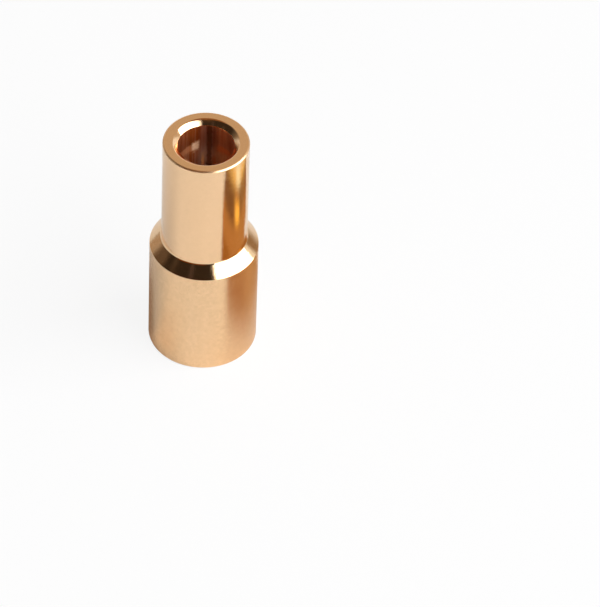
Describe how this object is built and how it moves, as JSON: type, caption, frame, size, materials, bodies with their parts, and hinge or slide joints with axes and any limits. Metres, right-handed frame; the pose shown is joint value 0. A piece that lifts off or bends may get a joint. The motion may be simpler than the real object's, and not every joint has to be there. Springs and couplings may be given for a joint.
{
  "type": "speaker plug sleeve",
  "caption": "Turned stepped sleeve of a speaker plug: a tapped barrel screws onto the plug's contact, and a plain tube with a funnelled bore takes the wire.",
  "frame": {"origin": "centre of the tapped end's flat face, on the sleeve's axis", "axes": "+Z along the sleeve's axis, from the tapped end up to the wire mouth"},
  "size_m": [0.008, 0.008, 0.0193],
  "materials": {
    "gold_plate": "polished gold plate over turned brass"
  },
  "bodies": {
    "root": {"plug_sleeve": "gold_plate"}
  },
  "joints": []
}
